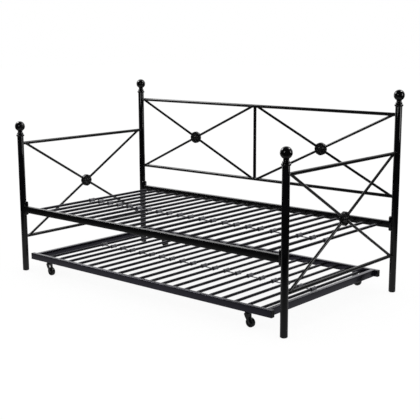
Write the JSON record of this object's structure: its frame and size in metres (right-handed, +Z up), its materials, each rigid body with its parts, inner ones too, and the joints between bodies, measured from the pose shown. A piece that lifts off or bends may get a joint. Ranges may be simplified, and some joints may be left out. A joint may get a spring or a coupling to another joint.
{
  "type": "trundle bed",
  "caption": "Black metal twin daybed with crossed-rod back and sides, ball finials, slatted deck and a slatted roll-out trundle on casters.",
  "frame": {"origin": "on the floor, at the centre of the footprint of the four posts", "axes": "+X along the length to the right, +Y towards the tall back panel, +Z up; the trundle rolls out along -Y"},
  "size_m": [2.016, 1.084, 1.124],
  "materials": {
    "posts": "gloss black powder coat",
    "finials": "gloss black powder coat",
    "panel_tubes": "gloss black powder coat",
    "medallions": "semi-gloss black paint on a casting",
    "rails": "semi-gloss black powder coat",
    "slats": "semi-gloss black powder coat",
    "caster_forks": "black painted steel",
    "caster_wheels": "black nylon"
  },
  "bodies": {
    "bed_frame": {"post_front_left": "posts", "post_front_right": "posts", "post_back_left": "posts", "post_back_right": "posts", "finial_front_left": "finials", "finial_front_right": "finials", "finial_back_left": "finials", "finial_back_right": "finials", "back_top_rail": "panel_tubes", "back_bottom_rail": "panel_tubes", "back_mid_bar": "panel_tubes", "back_left_cross": "panel_tubes", "back_left_medallion": "medallions", "back_right_cross": "panel_tubes", "back_right_medallion": "medallions", "left_side_top_rail": "panel_tubes", "left_side_bottom_rail": "panel_tubes", "left_side_cross": "panel_tubes", "left_side_medallion": "medallions", "right_side_top_rail": "panel_tubes", "right_side_bottom_rail": "panel_tubes", "right_side_cross": "panel_tubes", "right_side_medallion": "medallions", "deck_front_rail": "rails", "deck_back_rail": "rails", "deck_slat_left": "slats", "deck_slat_pair_1": "slats", "deck_slat_pair_2": "slats", "deck_slat_pair_3": "slats", "deck_slat_pair_4": "slats", "deck_slat_pair_5": "slats", "deck_slat_pair_6": "slats", "deck_slat_pair_7": "slats", "deck_slat_pair_8": "slats", "deck_slat_pair_9": "slats", "deck_slat_pair_10": "slats", "deck_slat_right": "slats"},
    "trundle": {"trundle_front_rail": "rails", "trundle_back_rail": "rails", "trundle_left_rail": "rails", "trundle_right_rail": "rails", "trundle_slat_pair_1": "slats", "trundle_slat_pair_2": "slats", "trundle_slat_pair_3": "slats", "trundle_slat_pair_4": "slats", "trundle_slat_pair_5": "slats", "trundle_slat_pair_6": "slats", "trundle_slat_pair_7": "slats", "trundle_slat_pair_8": "slats", "trundle_slat_pair_9": "slats", "trundle_slat_pair_10": "slats"},
    "caster_front_left_swivel": {"caster_fork_front_left": "caster_forks"},
    "caster_front_left_wheel": {"caster_wheel_front_left": "caster_wheels"},
    "caster_front_right_swivel": {"caster_fork_front_right": "caster_forks"},
    "caster_front_right_wheel": {"caster_wheel_front_right": "caster_wheels"},
    "caster_back_left_swivel": {"caster_fork_back_left": "caster_forks"},
    "caster_back_left_wheel": {"caster_wheel_back_left": "caster_wheels"},
    "caster_back_right_swivel": {"caster_fork_back_right": "caster_forks"},
    "caster_back_right_wheel": {"caster_wheel_back_right": "caster_wheels"}
  },
  "joints": [
    {"name": "trundle_roll_out", "type": "slide", "parent": "bed_frame", "child": "trundle", "axis": [0, -1, 0], "range_m": [0, 1.05]},
    {"name": "front_left_caster_swivel", "type": "hinge", "parent": "trundle", "child": "caster_front_left_swivel", "pos_m": [-0.778, -0.4905, 0.075], "axis": [0, 0, 1], "continuous": true},
    {"name": "front_left_wheel_spin", "type": "hinge", "parent": "caster_front_left_swivel", "child": "caster_front_left_wheel", "pos_m": [-0.76, -0.4905, 0.025], "axis": [0, 1, 0], "continuous": true},
    {"name": "front_right_caster_swivel", "type": "hinge", "parent": "trundle", "child": "caster_front_right_swivel", "pos_m": [0.742, -0.4905, 0.075], "axis": [0, 0, 1], "continuous": true},
    {"name": "front_right_wheel_spin", "type": "hinge", "parent": "caster_front_right_swivel", "child": "caster_front_right_wheel", "pos_m": [0.76, -0.4905, 0.025], "axis": [0, 1, 0], "continuous": true},
    {"name": "back_left_caster_swivel", "type": "hinge", "parent": "trundle", "child": "caster_back_left_swivel", "pos_m": [-0.778, 0.5005, 0.075], "axis": [0, 0, 1], "continuous": true},
    {"name": "back_left_wheel_spin", "type": "hinge", "parent": "caster_back_left_swivel", "child": "caster_back_left_wheel", "pos_m": [-0.76, 0.5005, 0.025], "axis": [0, 1, 0], "continuous": true},
    {"name": "back_right_caster_swivel", "type": "hinge", "parent": "trundle", "child": "caster_back_right_swivel", "pos_m": [0.742, 0.5005, 0.075], "axis": [0, 0, 1], "continuous": true},
    {"name": "back_right_wheel_spin", "type": "hinge", "parent": "caster_back_right_swivel", "child": "caster_back_right_wheel", "pos_m": [0.76, 0.5005, 0.025], "axis": [0, 1, 0], "continuous": true}
  ]
}
